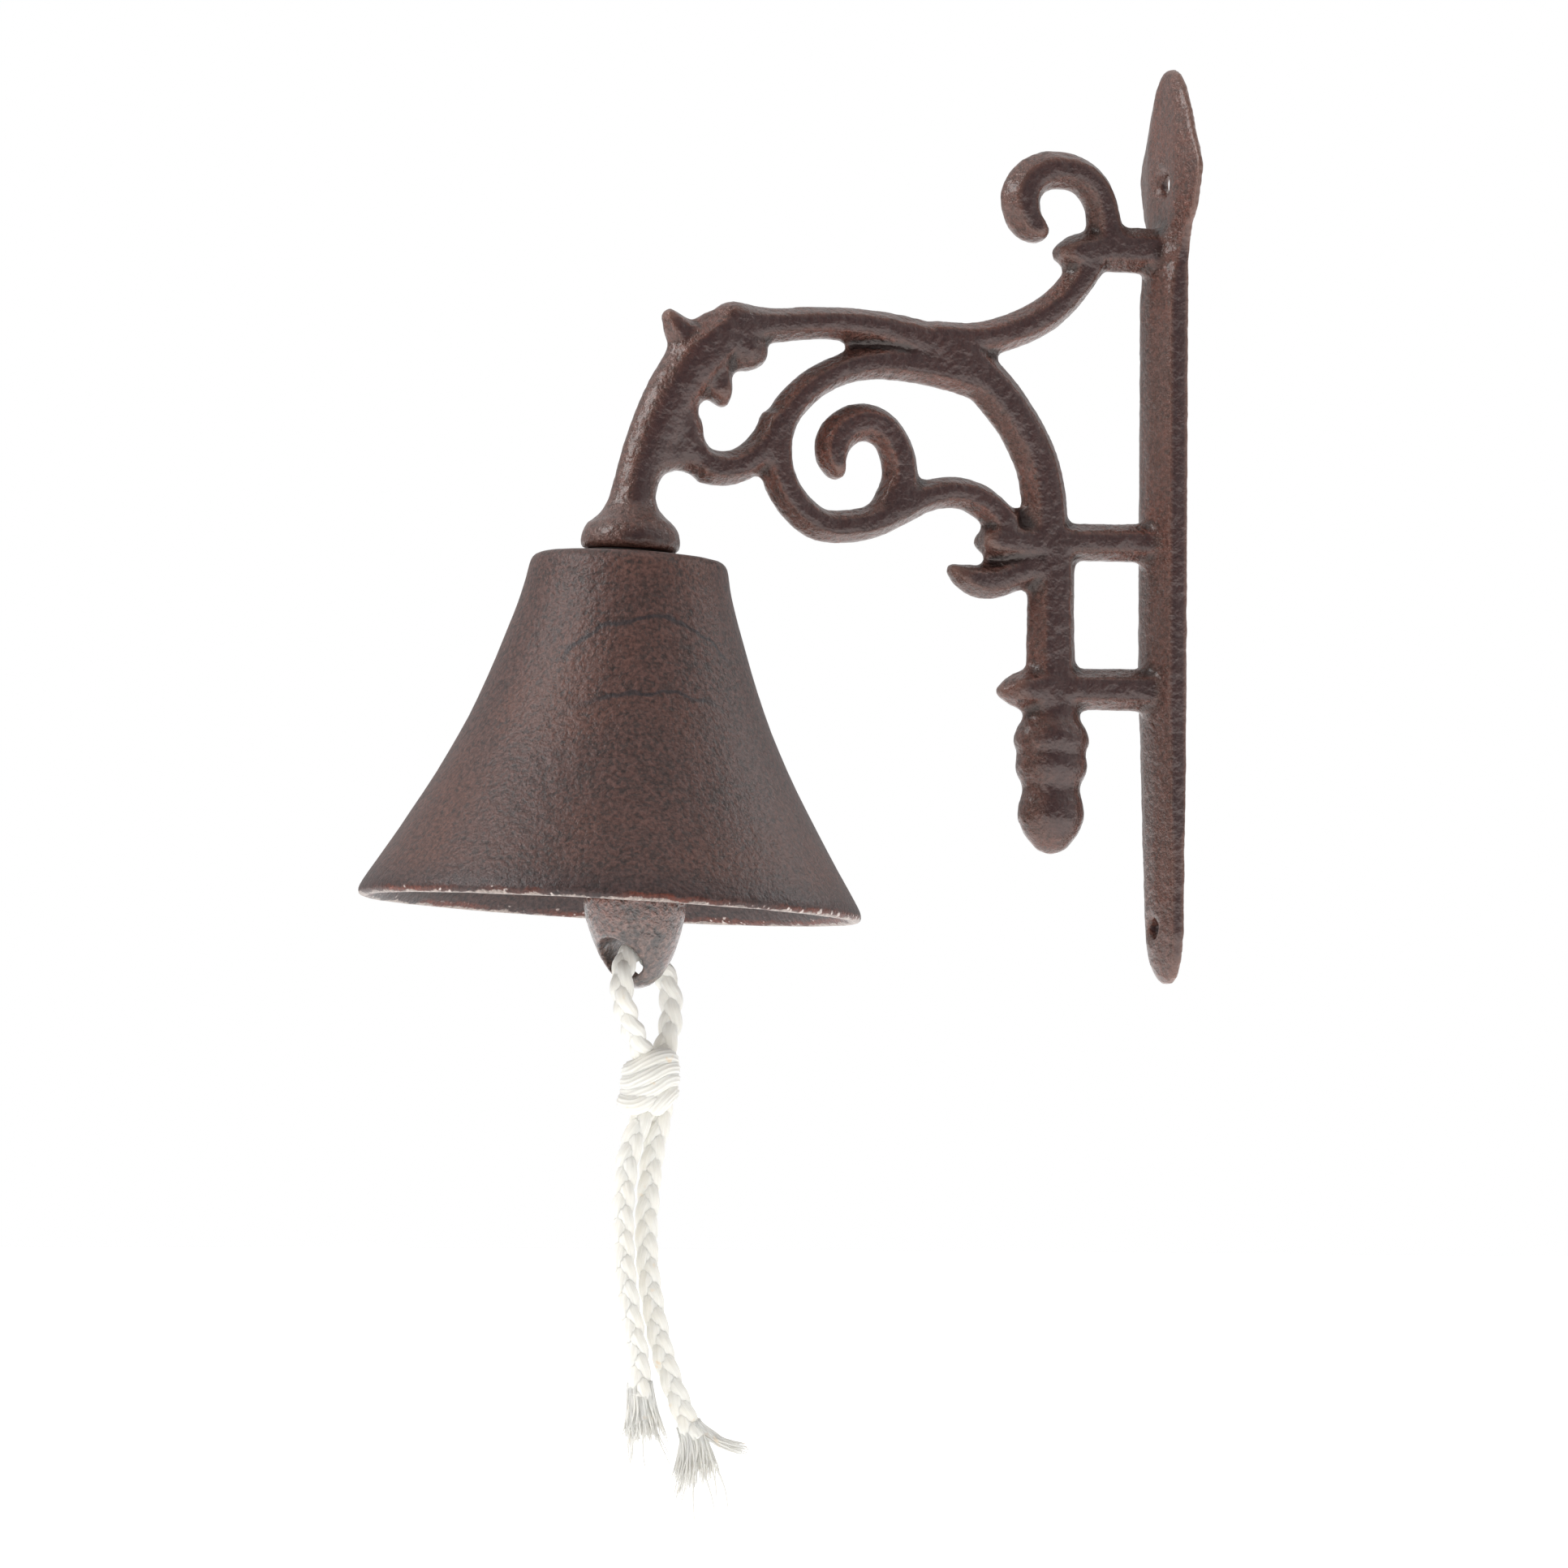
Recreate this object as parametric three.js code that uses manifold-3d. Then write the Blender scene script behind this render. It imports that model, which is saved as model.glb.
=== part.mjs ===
// Wall mounted bell: a cast iron scroll bracket that carries a small bell on an eye bolt,
// with a hanging clapper and a knotted pull rope.
// Millimetres. +Z is up, the wall is the plane Y = 0, and the bracket reaches out along -Y.
// The bracket is symmetric about the plane X = 0, which was the parting plane of its mould.

import * as THREE from "three";
import { mergeVertices } from "three/addons/utils/BufferGeometryUtils.js";
import Module from "manifold-3d";

const wasm = await Module();
wasm.setup();

// ---------------------------------------------------------------- driving dimensions

// Overall sizes of the bracket: the height of its wall bar, and how far out the bell hangs.
const WALL_BAR_HEIGHT = 200;
const BELL_REACH = 127.6;

// The scrollwork is drawn for these two sizes and is stretched with them.
const DRAWN_HEIGHT = 200;
const DRAWN_REACH = 127.6;

// The share of a scroll bar's width that is flat on each face; the rest slopes to the parting line.
const CREST_SHARE = 0.46;
const BAR_THICKNESS = 8.2;
const BAR_STEPS = 4;

// Screw holes of the wall bar.
const SCREW_HOLE_R = 2.25;
const SCREW_HEAD_R = 4.3;
const COUNTERSINK_DEPTH = 1.2;
const UPPER_SCREW_Z = 74.5;
const LOWER_SCREW_Z = -88;

// The bell and the stack of parts that clamps it, along the bell's own axis.
const BELL_TILT = THREE.MathUtils.degToRad(3);
const CROWN_Z = -11.4;
const BELL_HEIGHT = 74.6;
const BELL_CROWN_R = 21;
const BELL_MOUTH_R = 53;
const BELL_WALL = 3.2;
const BELL_CROWN_WALL = 4.2;
const BOLT_R = 3;
const BORE_CLEARANCE = 0.3;
const SEAT_GAP = 0.1;
const FOOT_R = 10.6;
const FOOT_HEIGHT = 10;
const FOOT_BORE_DEPTH = 9;
const GASKET_R = 9.2;
const GASKET_THICKNESS = 1;
const WASHER_R = 7.5;
const WASHER_THICKNESS = 1.4;
const NUT_ACROSS_FLATS = 10;
const NUT_HEIGHT = 5;

// Wire eyes, the link between them and the clapper.
const EYE_WIRE_R = 1.75;
const EYE_RING_R = 5.4;
const EYE_NECK = 1.6;
const LINK_WIRE_R = 1.3;
const LINK_HALF_WIDTH = 4.2;
const LINK_STRAIGHT = 9;
const CLAPPER_EYE_R = 3.9;
const CLAPPER_LEAN = THREE.MathUtils.degToRad(3.2);
const LINK_CLEARANCE = 0.3;
const CLAPPER_STEM_R = 4.3;
const CLAPPER_BALL_R = 11;
const CLAPPER_LENGTH = 45;
const CLAPPER_PEG = 6;
const CLAPPER_NECK = 0.9;

// The eye for the rope at the foot of the clapper: its centre is measured up from the tip, and
// its long way slopes down towards one side.
const ROPE_EYE_WIDTH = 10.4;
const ROPE_EYE_HEIGHT = 8.4;
const ROPE_EYE_ABOVE_TIP = 6.7;
const ROPE_EYE_OFFSET = -0.5;
const ROPE_EYE_SLOPE = THREE.MathUtils.degToRad(-24);
const ROPE_EYE_TURN = THREE.MathUtils.degToRad(-59);

// The rope.
const ROPE_R = 2.1;
const ROPE_SIDES = 8;
const KNOT_R = 6;
const STRAND_GAP = 0.6;

const ROUND_SIDES = 24;
const BELL_SIDES = 56;

// ---------------------------------------------------------------- materials

const castIron = new THREE.MeshStandardMaterial({ color: 0x4a3733, roughness: 0.5, metalness: 0.5 });
const bellIron = new THREE.MeshStandardMaterial({ color: 0x4c3a36, roughness: 0.5, metalness: 0.5 });
const zincSteel = new THREE.MeshStandardMaterial({ color: 0x8d8f92, roughness: 0.4, metalness: 1 });
const blackFibre = new THREE.MeshStandardMaterial({ color: 0x1b1817, roughness: 0.9, metalness: 0 });
const cottonRope = new THREE.MeshStandardMaterial({ color: 0xf1eee6, roughness: 0.95, metalness: 0 });

// ---------------------------------------------------------------- solids

// A closed geometry as a solid that can be joined and cut.
function solid(geometry) {
  const bare = geometry.clone();
  bare.deleteAttribute("normal");
  bare.deleteAttribute("uv");
  const merged = mergeVertices(bare, 1e-4);
  return new wasm.Manifold(
    new wasm.Mesh({
      numProp: 3,
      vertProperties: merged.attributes.position.array,
      triVerts: new Uint32Array(merged.index.array),
    }),
  );
}

// A solid as a geometry again.
function geometryOf(body) {
  const { vertProperties, triVerts } = body.getMesh();
  const geometry = new THREE.BufferGeometry();
  geometry.setAttribute("position", new THREE.Float32BufferAttribute(vertProperties, 3));
  geometry.setIndex([...triVerts]);
  geometry.computeVertexNormals();
  return geometry;
}

function named(name, geometry, material) {
  const mesh = new THREE.Mesh(geometry, material);
  mesh.name = name;
  return mesh;
}

// A turned shape about Z from [radius, z] points, listed from the bottom up or round a closed loop.
function turned(points, sides = ROUND_SIDES) {
  return new THREE.LatheGeometry(
    points.map(([r, z]) => new THREE.Vector2(r, z)),
    sides,
  ).rotateX(Math.PI / 2);
}

// A flat ring about Z with its lower face at z = bottom.
function flatRing(inner, outer, bottom, top, sides = ROUND_SIDES) {
  return turned(
    [
      [inner, bottom],
      [outer, bottom],
      [outer, top],
      [inner, top],
      [inner, bottom],
    ],
    sides,
  );
}

// A plain round rod about Z.
function rod(radius, bottom, top, sides = ROUND_SIDES) {
  return turned(
    [
      [0, bottom],
      [radius, bottom],
      [radius, top],
      [0, top],
    ],
    sides,
  );
}

// ---------------------------------------------------------------- cast bars of the bracket

const alongReach = BELL_REACH / DRAWN_REACH;
const upHeight = WALL_BAR_HEIGHT / DRAWN_HEIGHT;

// The six-sided section of a scroll bar, one unit to its edge and one to its face.
function barSection() {
  return new THREE.Shape([
    new THREE.Vector2(1, 0.1),
    new THREE.Vector2(CREST_SHARE, 1),
    new THREE.Vector2(-CREST_SHARE, 1),
    new THREE.Vector2(-1, 0.1),
    new THREE.Vector2(-1, -0.1),
    new THREE.Vector2(-CREST_SHARE, -1),
    new THREE.Vector2(CREST_SHARE, -1),
    new THREE.Vector2(1, -0.1),
  ]);
}

// One bar of the scrollwork: a straight bar bent along its centreline in the plane X = 0 and
// tapered as it goes. Each stop is [y, z, width] or [y, z, width, thickness].
function castBar(stops, usualThickness = BAR_THICKNESS) {
  const route = new THREE.CatmullRomCurve3(
    stops.map(([y, z]) => new THREE.Vector3(0, y * alongReach, z * upHeight)),
  );
  const sizes = new THREE.CatmullRomCurve3(
    stops.map(([, , width, thickness = usualThickness]) => {
      return new THREE.Vector3(width, Math.min(thickness, width * 1.6), 0);
    }),
    false,
    "catmullrom",
  );
  const steps = BAR_STEPS * (stops.length - 1);
  const bar = new THREE.ExtrudeGeometry(barSection(), { depth: 1, steps, bevelEnabled: false });
  const position = bar.attributes.position;
  for (let i = 0; i < position.count; i++) {
    const along = THREE.MathUtils.clamp(position.getZ(i), 0, 1);
    const at = route.getPoint(along);
    const ahead = route.getTangent(along);
    const { x: width, y: thickness } = sizes.getPoint(along);
    const aside = (position.getX(i) * width) / 2;
    const proud = (position.getY(i) * thickness) / 2;
    position.setXYZ(i, proud, at.y - ahead.z * aside, at.z + ahead.y * aside);
  }
  return solid(bar);
}

// A rounded lump of the casting on its mid-plane, stretched along each axis.
function lump(y, z, halfX, halfY, halfZ) {
  const ball = new THREE.SphereGeometry(1, 16, 12).scale(halfX, halfY, halfZ);
  return solid(ball.translate(0, y * alongReach, z * upHeight));
}

// The bars that carry the load: a ledge and two straight bars out of the wall bar, the upright
// shaft between them, the arch, and the arm that runs out from the ledge to the head.
function frameBars() {
  return [
    castBar(
      [[-2.5, 59.8, 10.4], [-13, 59.8, 10.2], [-20, 59.2, 9], [-25.4, 58.4, 7.4], [-28.6, 58.2, 3.4]],
      8.8,
    ),
    castBar([[-2.5, -4, 8.6], [-24, -4.5, 8.4], [-40, -5, 8.3], [-44.4, -5, 7], [-46.6, -4.8, 4]], 8.6),
    castBar(
      [[-2.5, -36.1, 9.6], [-24, -36.4, 9.2], [-34, -36.8, 9.4], [-38.4, -37.1, 7.2], [-41.8, -37.4, 2.2]],
      9.4,
    ),
    castBar([[-29.4, -3, 11.3], [-29.4, -20, 11.2], [-29.3, -42, 12.4]], 8.4),
    castBar(
      [[-103, 39.6, 8.4], [-96, 39.2, 7.8], [-86, 40.2, 7.2], [-74, 40.1, 7.6], [-62, 38, 9],
        [-52, 34.6, 10.4], [-44.4, 28.8, 10.6], [-38, 21.4, 10.4], [-33.2, 13, 10.4],
        [-31.2, 4, 10.8], [-31, -4, 11.2]],
      8.4,
    ),
    castBar(
      [[-58, 39.2, 6], [-48, 38.6, 7.4], [-39.6, 40.6, 7.8], [-31.4, 44.6, 7.8], [-25.2, 50.2, 7.4],
        [-20.8, 56.4, 7.8]],
      8.2,
    ),
  ];
}

// The scrolls: the top curl on the ledge, the ring inside the arch with its own curl and tail,
// the link from the ring to the neck, the small leaf under the upper bar, and two low webs.
function scrollBars() {
  return [
    castBar(
      [[-14.2, 58, 8.4], [-17, 64.4, 8.2], [-18.2, 70, 7.8], [-21.6, 74.6, 8], [-27.6, 76.4, 8.4],
        [-33.8, 75, 8.8], [-37.2, 70.4, 9.2], [-36, 65, 8.6], [-33.2, 62.8, 6], [-31.2, 62.4, 3]],
      8.6,
    ),
    castBar(
      [[-37.6, 22.6, 8], [-46, 28.8, 8.2], [-55, 31.2, 8], [-64.4, 32.4, 7.8], [-74, 32, 7.2],
        [-81.8, 29.4, 6.8], [-88.2, 25.2, 7], [-92.8, 19.5, 7.2], [-94.4, 13, 7.6], [-93.2, 6.2, 7.7],
        [-89.5, 0.7, 7.6], [-84.2, -2.8, 7.3], [-78, -3.1, 7.3], [-71, -1.5, 7.3], [-64.4, 1.8, 7.4],
        [-58.6, 4.4, 7], [-52, 5.2, 7], [-46, 3.4, 7.4], [-40, -1.6, 8]],
      7.9,
    ),
    castBar(
      [[-67, -0.4, 6], [-65.4, 6, 8.2], [-65.8, 12, 8.2], [-68.2, 16.8, 8], [-72.2, 19.4, 8.2],
        [-77, 18.8, 8.6], [-80.6, 15.8, 8.4], [-81.4, 11.6, 7.4], [-80, 8.4, 4.4], [-79.2, 7.4, 2.4]],
      7.6,
    ),
    castBar(
      [[-113.4, 19.8, 3], [-114.2, 17.4, 6.4], [-114.6, 13.4, 8], [-111.8, 9.2, 8], [-106, 8.2, 7.6],
        [-101, 10, 7.6], [-96.6, 14.6, 7], [-94.6, 20, 6]],
      7.7,
    ),
    castBar(
      [[-33, -9.4, 8], [-39, -12.2, 7.6], [-45, -13.8, 7.8], [-50, -12.9, 6], [-53.8, -10.8, 2]],
      7.4,
    ),
    castBar([[-75.6, 34.8, 2.6], [-66, 35.4, 5.4], [-52, 32.6, 5]], 3),
    castBar([[-73, -0.4, 3], [-69.4, 2.3, 4.6], [-67.4, 7, 4.2]], 6.4),
  ];
}

// The animal-like head at the elbow of the arm, and the neck that comes down to the foot.
function headAndNeck() {
  return [
    castBar(
      [[-97, 39.4, 7.4, 8.4], [-104, 38, 11, 9.6], [-110.6, 33.4, 13.4, 10.6], [-116.2, 26.6, 13.2, 10.4],
        [-121, 18.6, 12, 9.8], [-124.6, 10, 11, 9.8], [-126.9, 2.4, 10.2, 10.2], [-127.8, -2.4, 11.6, 11.6]],
      9,
    ),
    castBar([[-112, 33, 9], [-116.6, 37, 7.4], [-119.9, 41.2, 2.4]], 6.4),
    castBar([[-109.4, 32, 9], [-108.6, 27.4, 8.6], [-107.2, 23.8, 6], [-106.4, 21.2, 1.8]], 7),
    lump(-104.4, 40.4, 5, 4.6, 3.6),
    lump(-101.8, 33.4, 5, 5.2, 4.4),
    lump(-110, 35.8, 5.4, 4.4, 2.4),
    lump(-119, 9.6, 4, 3, 3.2),
  ];
}

// The finial under the lower bar: two rings and a bulb, turned and then flattened across.
function finial() {
  const bead = turned([
    [0, -72.6],
    [3.4, -71.2],
    [6.2, -68],
    [7.6, -64.6],
    [7.5, -61.8],
    [6.5, -58.6],
    [6.6, -57.2],
    [7.9, -55],
    [8.3, -53],
    [7.9, -51.2],
    [7.6, -50.4],
    [8.5, -48.6],
    [8.6, -46.8],
    [7.8, -44.8],
    [6.4, -43],
    [5.7, -38],
    [0, -38],
  ]);
  return solid(bead.scale(0.76, 1, upHeight).translate(0, -29.1 * alongReach, 0));
}

// ---------------------------------------------------------------- wall bar

// The section of the wall bar, flat behind and ridged in front: x is 2 at its edge and 1 at the
// edge of its crest, and y is 0 at the back, 1 at the edge's front and 2 on the crest.
function wallBarSection() {
  return new THREE.Shape([
    new THREE.Vector2(-2, 0),
    new THREE.Vector2(2, 0),
    new THREE.Vector2(2, 1),
    new THREE.Vector2(1, 2),
    new THREE.Vector2(-1, 2),
    new THREE.Vector2(-2, 1),
  ]);
}

// Stations up the wall bar: [z, half width, edge thickness, half crest width, crest height].
const WALL_BAR_STATIONS = [
  [-100, 2, 1.4, 0.8, 1.8],
  [-98.6, 4, 1.9, 1.2, 3],
  [-95.6, 5.8, 2.4, 1.6, 4.2],
  [-90, 7, 2.9, 1.9, 5],
  [-60, 7.6, 3.8, 2, 5.7],
  [-44, 7.8, 4.2, 2, 6.3],
  [-38, 7.9, 4.5, 2, 7.1],
  [50, 7.9, 4.5, 2, 7.2],
  [58, 8.1, 3, 3, 6.2],
  [62, 8.6, 2.2, 5, 4.4],
  [65.4, 10, 1.7, 6.2, 3.6],
  [68, 12.2, 1.5, 6.6, 3.4],
  [72.6, 13.8, 1.4, 6.9, 3.3],
  [77.4, 15, 1.3, 7, 3.3],
  [80.4, 14.1, 1.3, 6.9, 3.3],
  [85, 11.6, 1.3, 6.4, 3.2],
  [90, 9.7, 1.3, 5.4, 3],
  [95, 7.3, 1.3, 4.2, 2.8],
  [98.4, 4.6, 1.3, 2.6, 2.4],
  [100, 1.8, 1.3, 1, 1.8],
];

// The wall bar with its leaf-shaped head, lofted through the stations.
function wallBar() {
  const last = WALL_BAR_STATIONS.length - 1;
  const blank = new THREE.ExtrudeGeometry(wallBarSection(), {
    depth: last,
    steps: last,
    bevelEnabled: false,
  });
  const position = blank.attributes.position;
  for (let i = 0; i < position.count; i++) {
    const [z, halfWidth, edge, halfCrest, crest] = WALL_BAR_STATIONS[Math.round(position.getZ(i))];
    const across = position.getX(i);
    const halfAt = Math.abs(across) === 2 ? halfWidth : halfCrest;
    const front = [0, edge, crest][position.getY(i)];
    position.setXYZ(i, -Math.sign(across) * halfAt, -front, z * upHeight);
  }
  return solid(blank);
}

// The cutter for one countersunk screw hole through the wall bar, at height z on a face at depth.
function screwHole(z, depth) {
  const cutter = turned([
    [0, -1],
    [SCREW_HOLE_R, -1],
    [SCREW_HOLE_R, depth - COUNTERSINK_DEPTH],
    [SCREW_HEAD_R, depth],
    [SCREW_HEAD_R, depth + 6],
    [0, depth + 6],
  ]);
  return solid(cutter.rotateX(Math.PI / 2).translate(0, 0, z * upHeight));
}

// ---------------------------------------------------------------- bracket casting

// The bell's axis leaves the foot at this point and runs down and a little out from the wall.
const crownPoint = new THREE.Vector3(0, -BELL_REACH, CROWN_Z * upHeight);
const footSeat = GASKET_THICKNESS + 2 * SEAT_GAP;
const boltBore = BOLT_R + BORE_CLEARANCE;

function tiltedToBell(geometry) {
  return geometry.rotateX(-BELL_TILT).translate(crownPoint.x, crownPoint.y, crownPoint.z);
}

function foot() {
  const flare = turned([
    [0, footSeat],
    [FOOT_R - 0.8, footSeat],
    [FOOT_R, footSeat + 1],
    [FOOT_R, footSeat + 2.8],
    [FOOT_R - 0.5, footSeat + 4.4],
    [FOOT_R - 1.6, footSeat + 6],
    [FOOT_R - 3.2, footSeat + 7.4],
    [FOOT_R - 4.8, footSeat + 8.6],
    [FOOT_R - 5.4, footSeat + FOOT_HEIGHT],
    [0, footSeat + FOOT_HEIGHT],
  ]);
  return solid(tiltedToBell(flare));
}

function footBore() {
  return solid(tiltedToBell(rod(boltBore, 0, footSeat + FOOT_BORE_DEPTH)));
}

function bracketCasting() {
  const pieces = [...frameBars(), ...scrollBars(), ...headAndNeck(), finial(), foot()];
  return pieces
    .reduce((whole, piece) => whole.add(piece), wallBar())
    .subtract(footBore())
    .subtract(screwHole(UPPER_SCREW_Z, 3.4))
    .subtract(screwHole(LOWER_SCREW_Z, 5.6));
}

// ---------------------------------------------------------------- bell

// The flare of the bell's outside, as [share of the height, share of the flare from crown to mouth].
const BELL_FLARE = [
  [0.05, 0.015],
  [0.144, 0.063],
  [0.253, 0.144],
  [0.363, 0.232],
  [0.474, 0.338],
  [0.584, 0.461],
  [0.695, 0.602],
  [0.806, 0.756],
  [0.917, 0.921],
  [0.98, 0.993],
];

// A bell about Z with its crown at z = 0 and its mouth below.
function bell() {
  const flare = BELL_MOUTH_R - BELL_CROWN_R;
  const outside = BELL_FLARE.map(([down, out]) => [BELL_CROWN_R + out * flare, -down * BELL_HEIGHT]);
  const inside = outside.slice(1).map(([r, z]) => [r - BELL_WALL, z]);
  return turned(
    [
      [boltBore, 0],
      [boltBore, -BELL_CROWN_WALL],
      [BELL_CROWN_R - BELL_WALL - 2.4, -BELL_CROWN_WALL],
      ...inside,
      [BELL_MOUTH_R - BELL_WALL + 0.4, -BELL_HEIGHT],
      [BELL_MOUTH_R - 0.6, -BELL_HEIGHT],
      ...outside.reverse(),
      [BELL_CROWN_R - 0.9, -1.3],
      [BELL_CROWN_R - 2.6, -0.3],
      [BELL_CROWN_R - 4.4, 0],
      [boltBore, 0],
    ],
    BELL_SIDES,
  );
}

// ---------------------------------------------------------------- hardware on the bell's axis

// The faces of the clamped stack inside the bell, from the crown down.
const washerTop = -BELL_CROWN_WALL - SEAT_GAP;
const washerBottom = washerTop - WASHER_THICKNESS;
const nutTop = washerBottom - SEAT_GAP;
const nutBottom = nutTop - NUT_HEIGHT;
const eyeCentreZ = nutBottom - EYE_NECK - EYE_RING_R - EYE_WIRE_R;

// A torus about X: a wire eye that lies in the plane X = 0.
function wireEye(ringR, wireR) {
  return new THREE.TorusGeometry(ringR, wireR, 10, ROUND_SIDES).rotateY(Math.PI / 2);
}

function eyeBolt() {
  const shankTop = footSeat + FOOT_BORE_DEPTH - 1;
  const shank = solid(rod(BOLT_R, eyeCentreZ + EYE_RING_R, shankTop));
  const eye = solid(wireEye(EYE_RING_R, EYE_WIRE_R).translate(0, 0, eyeCentreZ));
  return geometryOf(shank.add(eye));
}

function hexNut() {
  const cornerR = NUT_ACROSS_FLATS / Math.sqrt(3);
  const blank = solid(rod(cornerR, nutBottom, nutTop, 6));
  return geometryOf(blank.subtract(solid(rod(boltBore, nutBottom - 1, nutTop + 1))));
}

// ---------------------------------------------------------------- link and clapper

// The link hangs in the eye, and the clapper's own eye hangs in the link. Both are drawn hanging
// straight down from the link's top wire at z = 0, and are then leaned together.
const linkHeight = LINK_STRAIGHT + 2 * LINK_HALF_WIDTH;
const clapperEyeTop = -linkHeight + 2 * LINK_WIRE_R + LINK_CLEARANCE;
const clapperTop = clapperEyeTop - 2 * CLAPPER_EYE_R - LINK_WIRE_R - CLAPPER_NECK;
const clapperTip = clapperTop - CLAPPER_LENGTH;

// A wire ring pulled apart into a long link, in the plane Y = 0.
function wireLink() {
  const ring = new THREE.TorusGeometry(LINK_HALF_WIDTH, LINK_WIRE_R, 10, ROUND_SIDES);
  const position = ring.attributes.position;
  for (let i = 0; i < position.count; i++) {
    const pull = position.getY(i) > -1e-6 ? LINK_STRAIGHT / 2 : -LINK_STRAIGHT / 2;
    position.setY(i, position.getY(i) + pull);
  }
  return ring.rotateX(Math.PI / 2).translate(0, 0, -linkHeight / 2);
}

function clapperEye() {
  const eye = solid(wireEye(CLAPPER_EYE_R, LINK_WIRE_R).translate(0, 0, clapperEyeTop - CLAPPER_EYE_R));
  const peg = solid(rod(LINK_WIRE_R, clapperTop - CLAPPER_PEG, clapperEyeTop - 2 * CLAPPER_EYE_R, 12));
  return geometryOf(eye.add(peg));
}

// The drop-shaped clapper, from its tip up, as [radius, height above the tip].
function clapperBlank() {
  return turned(
    [
      [0, 0],
      [2.6, 0.5],
      [4.7, 2.2],
      [6.2, 4.2],
      [7.6, 6.6],
      [9.2, 10.4],
      [CLAPPER_BALL_R - 0.5, 15],
      [CLAPPER_BALL_R, 18.6],
      [CLAPPER_BALL_R - 0.9, 24],
      [CLAPPER_BALL_R - 3.4, 30],
      [CLAPPER_STEM_R + 1.2, 36],
      [CLAPPER_STEM_R, 41],
      [CLAPPER_STEM_R - 0.3, CLAPPER_LENGTH - 0.8],
      [CLAPPER_STEM_R - 1.2, CLAPPER_LENGTH],
      [0, CLAPPER_LENGTH],
    ],
    32,
  );
}

// The oval cutter of the rope eye, along the eye's own direction.
function ropeEyeCutter() {
  const oval = new THREE.Shape();
  const [halfWidth, halfHeight] = [ROPE_EYE_WIDTH / 2, ROPE_EYE_HEIGHT / 2];
  oval.absellipse(ROPE_EYE_OFFSET, 0, halfWidth, halfHeight, 0, Math.PI * 2, false, ROPE_EYE_SLOPE);
  const long = 4 * CLAPPER_BALL_R;
  return new THREE.ExtrudeGeometry(oval, { depth: long, steps: 1, curveSegments: 10, bevelEnabled: false })
    .translate(0, 0, -long / 2)
    .rotateX(Math.PI / 2)
    .rotateZ(Math.PI / 2 + ROPE_EYE_TURN);
}

function clapper() {
  const pegBottom = CLAPPER_LENGTH - CLAPPER_PEG - 1;
  const pegBore = rod(LINK_WIRE_R + BORE_CLEARANCE, pegBottom, CLAPPER_LENGTH + 1, 12);
  const eye = ropeEyeCutter().translate(0, 0, ROPE_EYE_ABOVE_TIP);
  const body = solid(clapperBlank()).subtract(solid(pegBore)).subtract(solid(eye));
  return geometryOf(body).translate(0, 0, clapperTip);
}

// ---------------------------------------------------------------- rope

// The rope's route: up the rear strand, over the clapper's rope eye and down the front strand to
// the knot, then the two tails below the knot.
const FRONT_STRAND = [
  [0, -125.5, -94.5],
  [3, -128.5, -95.6],
  [5.6, -130.5, -98.4],
  [6.9, -131.3, -102.4],
  [6.4, -130.5, -106.4],
  [5, -128.4, -110.4],
  [3.2, -125.9, -114],
  [2, -124.2, -116.4],
];
const REAR_STRAND = [
  [0, -125.5, -94.5],
  [-1.7, -121.5, -95.6],
  [-2.6, -118.4, -98.4],
  [-2.6, -116.8, -102.4],
  [-2.3, -116.4, -106.6],
  [-1.8, -116.9, -110.6],
  [-1.2, -118, -114.2],
  [-0.6, -119, -116.6],
];
const LEFT_TAIL = [
  [0.9, -123.4, -127.8],
  [0.9, -125.6, -133],
  [0.9, -127.4, -138.8],
  [0.9, -128.3, -147.5],
  [0.9, -128.2, -156.7],
  [0.9, -127.4, -165.2],
  [0.8, -125.8, -173.7],
  [0.6, -124.4, -181],
  [0.4, -123.8, -188],
];
const RIGHT_TAIL = [
  [-0.6, -119.2, -127.8],
  [-0.8, -120.1, -133],
  [-0.9, -121.2, -139.4],
  [-0.9, -122.2, -150.9],
  [-0.9, -121.9, -160.1],
  [-0.8, -120.8, -168],
  [-0.6, -119.1, -176.5],
  [-0.4, -116.8, -184],
  [-0.2, -114, -190.9],
  [0, -111.5, -196.6],
];
const KNOT_CENTRE = [0.6, -121.4, -122.2];
const KNOT_STRETCH = 1.04;

// A plain tube along a route of points, leaving out a little at either end for the gaps.
function ropeTube(points, startGap, endGap) {
  const route = new THREE.CatmullRomCurve3(points.map((p) => new THREE.Vector3(...p)));
  const length = route.getLength();
  const steps = Math.ceil(length / (2 * ROPE_R));
  const kept = Array.from({ length: steps * 2 + 1 }, (_, i) => {
    return route.getPointAt((startGap + ((length - startGap - endGap) * i) / (steps * 2)) / length);
  });
  const section = new THREE.Shape();
  section.absarc(0, 0, ROPE_R, 0, Math.PI * 2);
  return new THREE.ExtrudeGeometry(section, {
    extrudePath: new THREE.CatmullRomCurve3(kept),
    steps,
    curveSegments: ROPE_SIDES / 2,
    bevelEnabled: false,
  });
}

// The knot is a plain round body that the strands and tails stop short of.
function knotBody() {
  const ball = new THREE.SphereGeometry(KNOT_R, 16, 12).rotateX(Math.PI / 2).scale(1, 1, KNOT_STRETCH);
  return ball.translate(...KNOT_CENTRE);
}

// A rope tube with whatever would reach into the knot, or its gap, cut away.
function clearOfKnot(tube) {
  const room = new THREE.SphereGeometry(KNOT_R + SEAT_GAP * 3, 16, 12).rotateX(Math.PI / 2);
  return geometryOf(solid(tube).subtract(solid(room.scale(1, 1, KNOT_STRETCH).translate(...KNOT_CENTRE))));
}

// ---------------------------------------------------------------- assembly

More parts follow.
